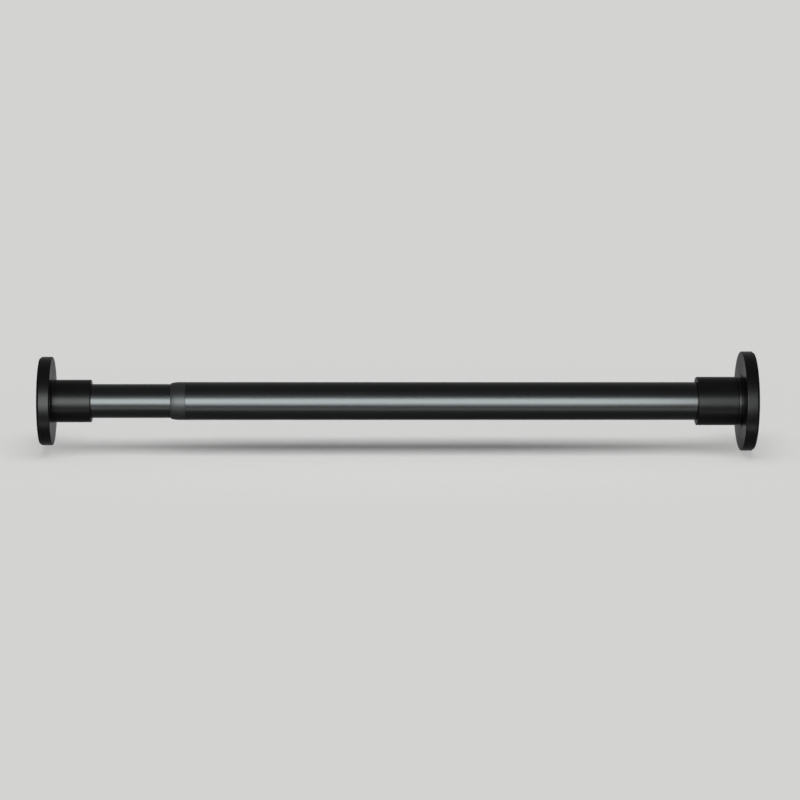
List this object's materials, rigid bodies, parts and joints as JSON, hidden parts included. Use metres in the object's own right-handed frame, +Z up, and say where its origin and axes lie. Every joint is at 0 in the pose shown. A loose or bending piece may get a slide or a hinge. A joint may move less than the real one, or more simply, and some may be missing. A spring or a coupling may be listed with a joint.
{
  "type": "spring tension rod",
  "caption": "Black telescoping tension rod with a padded round flange at each end, a twist lock and an inner compression spring, for holding a curtain between two walls.",
  "frame": {"origin": "centre of the wall face of the large flange's rubber pad", "axes": "+X along the rod, out of the large end into its wall; the small end lies towards -X; +Z up with the rod level"},
  "size_m": [0.5266, 0.0734, 0.0734],
  "materials": {
    "black_enamel": "semi-gloss black enamel on steel tube",
    "black_plastic": "satin moulded black plastic",
    "black_rubber": "matte black rubber",
    "white_nylon": "natural moulded nylon",
    "grey_nylon": "glass-filled grey nylon",
    "zinc_steel": "zinc-plated steel",
    "bright_steel": "drawn bright steel",
    "spring_steel": "oil-dark spring steel"
  },
  "bodies": {
    "outer_pole": {"outer_tube": "black_enamel", "tube_ferrule": "black_plastic", "large_flange": "black_plastic", "large_pad": "black_rubber", "large_tube_plug": "grey_nylon", "large_cap_screw": "zinc_steel", "large_cap_washer": "zinc_steel"},
    "lock": {"expander_sleeve": "white_nylon"},
    "wedge": {"wedge_cone": "grey_nylon"},
    "spindle": {"guide_rod": "bright_steel", "tip_clip": "spring_steel", "retaining_clip": "spring_steel", "thrust_washer": "zinc_steel", "tension_spring": "spring_steel", "stop_washer": "zinc_steel", "stop_nut": "zinc_steel"},
    "inner_pole": {"inner_tube": "black_enamel", "seat_plug": "white_nylon", "small_flange": "black_plastic", "small_pad": "black_rubber", "small_tube_plug": "grey_nylon", "small_cap_screw": "zinc_steel", "small_cap_washer": "zinc_steel"}
  },
  "joints": [
    {"name": "length_adjust", "type": "slide", "parent": "outer_pole", "child": "lock", "axis": [-1, 0, 0], "range_m": [-0.008, 0.217]},
    {"name": "twist_lock", "type": "hinge", "parent": "lock", "child": "spindle", "pos_m": [-0.06, 0, 0], "axis": [-1, 0, 0], "range_deg": [0, 360]},
    {"name": "wedge_travel", "type": "slide", "parent": "lock", "child": "wedge", "axis": [1, 0, 0], "range_m": [0, 0.002]},
    {"name": "spring_stroke", "type": "slide", "parent": "spindle", "child": "inner_pole", "axis": [1, 0, 0], "range_m": [0, 0.05], "stiffness_N_per_m": 1500, "springref_m": -0.0167, "deforming": ["tension_spring"]}
  ],
  "couplings": [
    {"joint": "wedge_travel", "follows": "twist_lock", "m_per_rad": 0.0003183}
  ]
}
